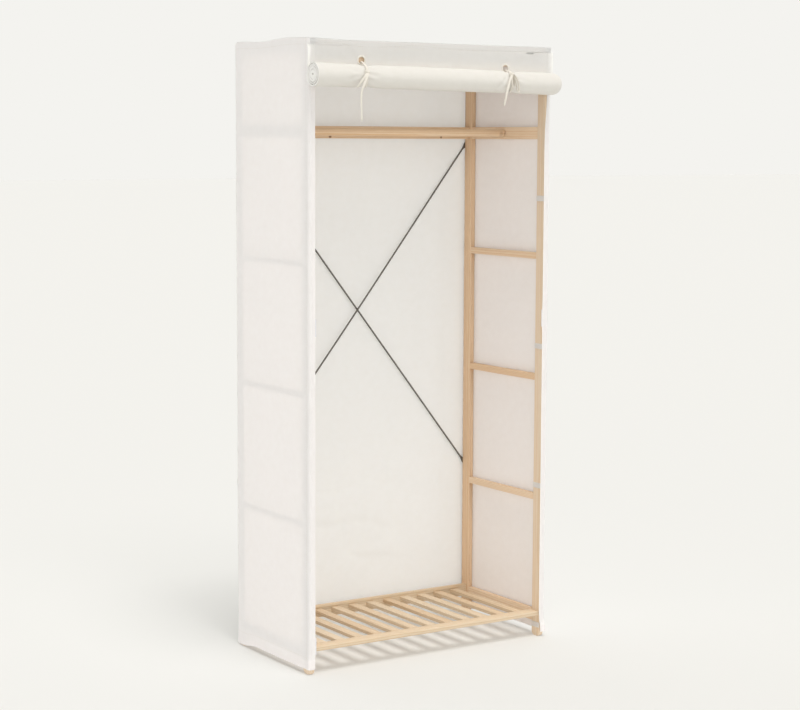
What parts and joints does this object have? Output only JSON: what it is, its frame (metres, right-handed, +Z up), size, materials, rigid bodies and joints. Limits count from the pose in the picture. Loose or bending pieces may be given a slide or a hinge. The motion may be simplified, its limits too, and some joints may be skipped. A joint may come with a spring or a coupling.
{
  "type": "portable fabric wardrobe",
  "caption": "Light pine ladder frame in a sewn cloth cover, with a garment rod, a slatted shelf, a crossed rear brace and a roll-up cloth door held by ties.",
  "frame": {"origin": "on the floor, under the middle of the whole object with its rolled-up door", "axes": "+Z up, -Y towards the open front, +X to the right as one looks at the front"},
  "size_m": [0.81, 0.4794, 1.7],
  "materials": {
    "pine": "planed, clear satin",
    "brace_steel": "dark satin",
    "cover_cloth": "matt woven",
    "door_cloth": "matt woven",
    "strap_tape": "matt tape",
    "eyelet_ring": "satin",
    "tie_tape": "matt tape"
  },
  "bodies": {
    "wardrobe": {"post_front_left": "pine", "post_front_right": "pine", "post_back_left": "pine", "post_back_right": "pine", "left_lower_rail": "pine", "left_rung_1": "pine", "left_rung_2": "pine", "left_rung_3": "pine", "left_upper_rail": "pine", "left_top_rail": "pine", "right_lower_rail": "pine", "right_rung_1": "pine", "right_rung_2": "pine", "right_rung_3": "pine", "right_upper_rail": "pine", "right_top_rail": "pine", "front_top_rail": "pine", "back_top_rail": "pine", "back_upper_rail": "pine", "shelf_rear_rail": "pine", "garment_rod": "pine", "shelf_front_board": "pine", "shelf_slat_01": "pine", "shelf_slat_02": "pine", "shelf_slat_03": "pine", "shelf_slat_04": "pine", "shelf_slat_05": "pine", "shelf_slat_06": "pine", "shelf_slat_07": "pine", "shelf_slat_08": "pine", "shelf_slat_09": "pine", "shelf_slat_10": "pine", "shelf_slat_11": "pine", "shelf_slat_12": "pine", "brace_rod_rising": "brace_steel", "brace_rod_falling": "brace_steel", "cover_left_wall": "cover_cloth", "cover_right_wall": "cover_cloth", "cover_left_flange": "cover_cloth", "cover_right_flange": "cover_cloth", "cover_back_wall": "cover_cloth", "cover_roof": "cover_cloth", "cover_front_band": "cover_cloth", "strap_left_1": "strap_tape", "strap_left_2": "strap_tape", "strap_left_3": "strap_tape", "strap_left_4": "strap_tape", "strap_right_1": "strap_tape", "strap_right_2": "strap_tape", "strap_right_3": "strap_tape", "strap_right_4": "strap_tape", "door_hanging_panel": "door_cloth", "eyelet_left": "eyelet_ring", "eyelet_right": "eyelet_ring", "tie_left": "tie_tape", "tie_right": "tie_tape"},
    "rolled_door": {"door_roll": "door_cloth"}
  },
  "joints": [
    {"name": "door_drop", "type": "slide", "parent": "wardrobe", "child": "rolled_door", "axis": [0, 0, -1], "range_m": [0, 1.544], "deforming": ["tie_left", "tie_right"]}
  ]
}
